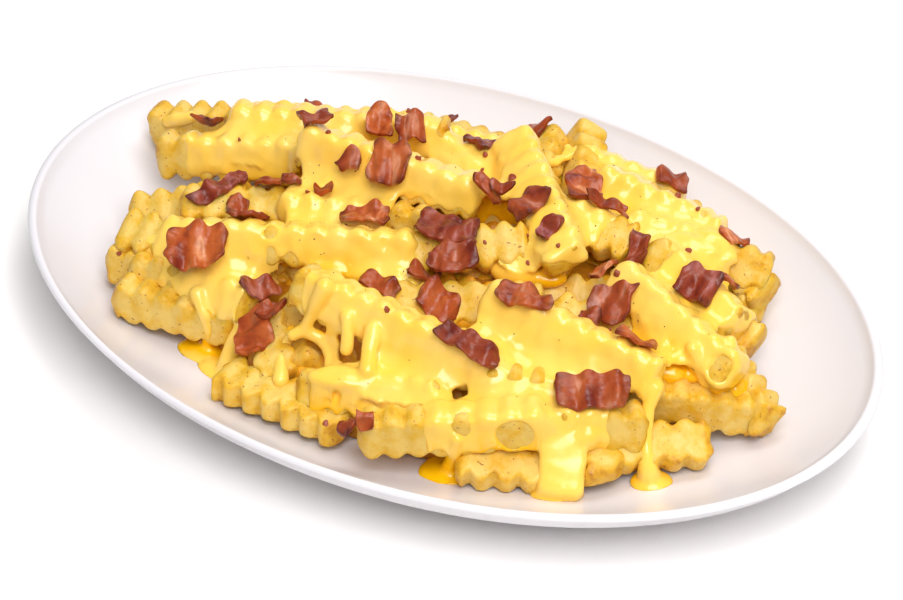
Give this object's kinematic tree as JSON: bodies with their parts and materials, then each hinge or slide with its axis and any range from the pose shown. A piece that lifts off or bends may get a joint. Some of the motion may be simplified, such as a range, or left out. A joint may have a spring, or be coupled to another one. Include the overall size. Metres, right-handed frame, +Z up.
{
  "type": "cheese fries",
  "caption": "Crinkle-cut fries under poured cheese sauce and pieces of fried bacon, heaped on a white oval platter.",
  "frame": {"origin": "middle of the plane of the platter's foot ring", "axes": "+X along the platter's length, +Y along its width, +Z up"},
  "size_m": [0.3298, 0.2278, 0.0678],
  "materials": {
    "white_glaze": "smooth gloss glaze",
    "fried_potato": "pale gold fried potato with browner edges, slightly oily",
    "cheese_sauce": "smooth, wet and glossy",
    "fried_bacon": "red-brown meat with paler streaks of fat, greasy"
  },
  "bodies": {
    "root": {"platter": "white_glaze", "fries_heap": "fried_potato", "bacon_01": "fried_bacon", "bacon_02": "fried_bacon", "bacon_03": "fried_bacon", "bacon_04": "fried_bacon", "bacon_05": "fried_bacon", "bacon_06": "fried_bacon", "bacon_07": "fried_bacon", "bacon_08": "fried_bacon", "bacon_09": "fried_bacon", "bacon_10": "fried_bacon", "bacon_11": "fried_bacon", "bacon_12": "fried_bacon", "bacon_13": "fried_bacon", "bacon_14": "fried_bacon", "bacon_15": "fried_bacon", "bacon_16": "fried_bacon", "bacon_17": "fried_bacon", "bacon_18": "fried_bacon", "bacon_19": "fried_bacon", "bacon_20": "fried_bacon", "bacon_21": "fried_bacon", "bacon_22": "fried_bacon", "bacon_23": "fried_bacon", "bacon_24": "fried_bacon", "bacon_25": "fried_bacon", "bacon_26": "fried_bacon", "bacon_27": "fried_bacon", "bacon_28": "fried_bacon", "bacon_29": "fried_bacon", "bacon_30": "fried_bacon", "bacon_31": "fried_bacon", "bacon_32": "fried_bacon", "bacon_33": "fried_bacon", "bacon_34": "fried_bacon", "bacon_35": "fried_bacon", "bacon_36": "fried_bacon", "bacon_37": "fried_bacon", "bacon_38": "fried_bacon", "bacon_39": "fried_bacon", "bacon_40": "fried_bacon", "bacon_41": "fried_bacon", "bacon_42": "fried_bacon", "bacon_43": "fried_bacon", "bacon_44": "fried_bacon", "bacon_45": "fried_bacon", "bacon_46": "fried_bacon", "bacon_47": "fried_bacon"}
  },
  "joints": []
}
